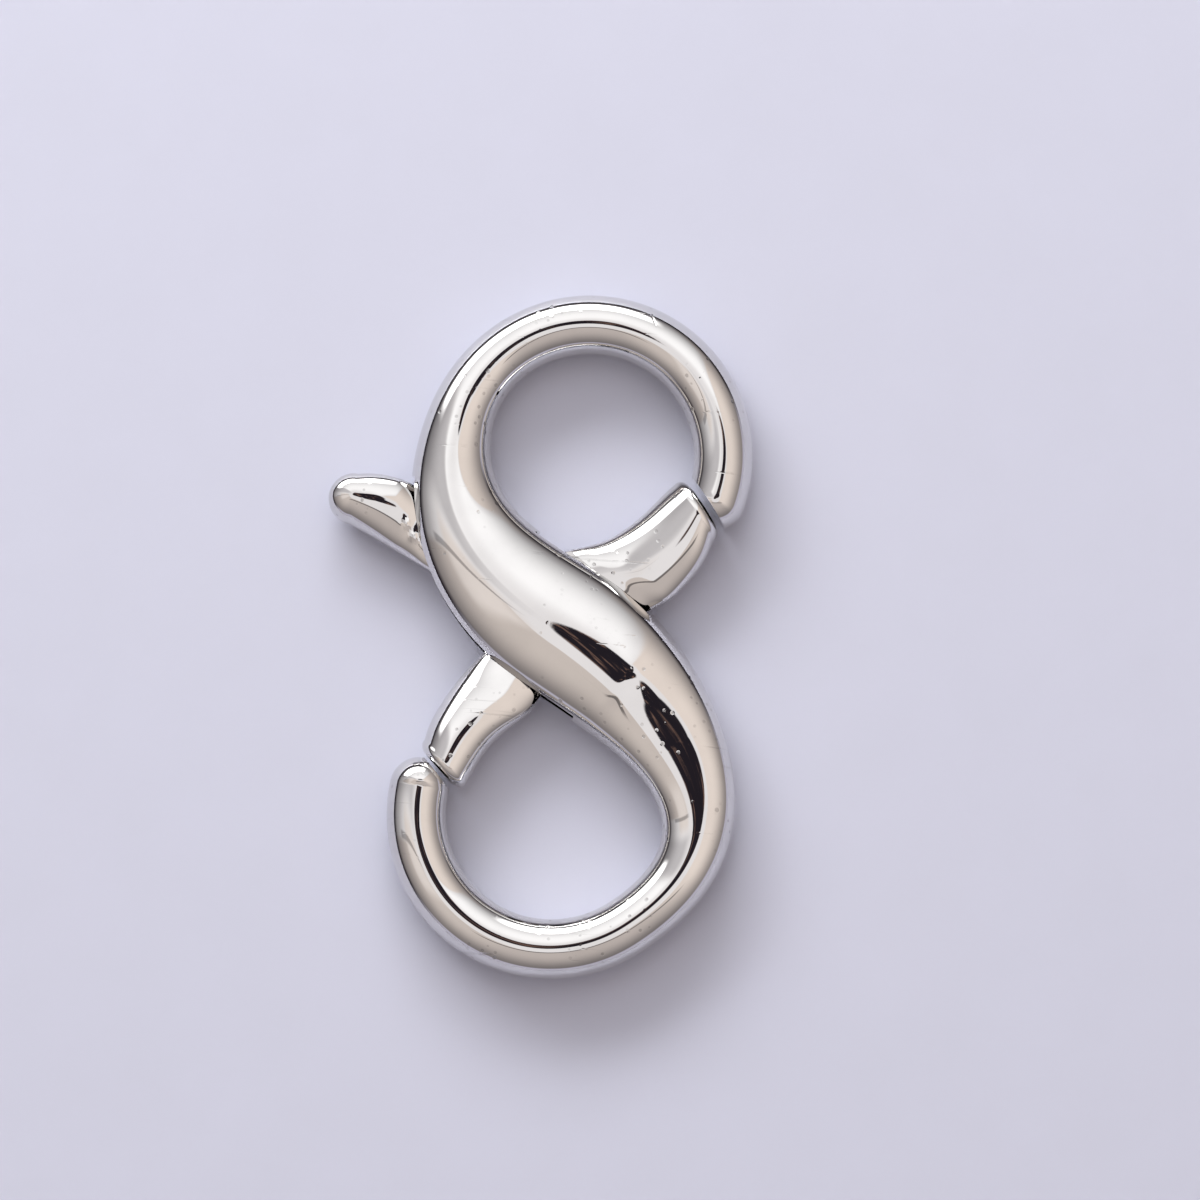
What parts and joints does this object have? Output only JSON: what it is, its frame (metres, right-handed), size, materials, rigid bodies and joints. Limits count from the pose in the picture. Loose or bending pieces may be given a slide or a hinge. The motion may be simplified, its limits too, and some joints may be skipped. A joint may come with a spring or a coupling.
{
  "type": "figure-eight trigger clasp",
  "caption": "Polished figure-eight jewellery clasp; one sprung lever with a thumb tab swings both gates inward to open the upper and lower loops.",
  "frame": {"origin": "where the pivot axis meets the flat back", "axes": "+Y along the length towards the loop that lies on the thumb tab's side, +Z out of the face along the pivot axis"},
  "size_m": [0.0164, 0.026, 0.0026],
  "materials": {
    "plated_casting": "mirror-polished plated casting with fine pits",
    "pin_steel": "polished",
    "spring_wire": "drawn wire"
  },
  "bodies": {
    "frame": {"body": "plated_casting", "pivot_pin": "pin_steel", "return_spring": "spring_wire"},
    "trigger": {"lever": "plated_casting"}
  },
  "joints": [
    {"name": "lever_pivot", "type": "hinge", "parent": "frame", "child": "trigger", "pos_m": [0, 0, 0.00105], "axis": [0, 0, 1], "range_deg": [0, 18], "stiffness_Nm_per_rad": 0.004, "springref_deg": -28.65, "deforming": ["return_spring"]}
  ]
}
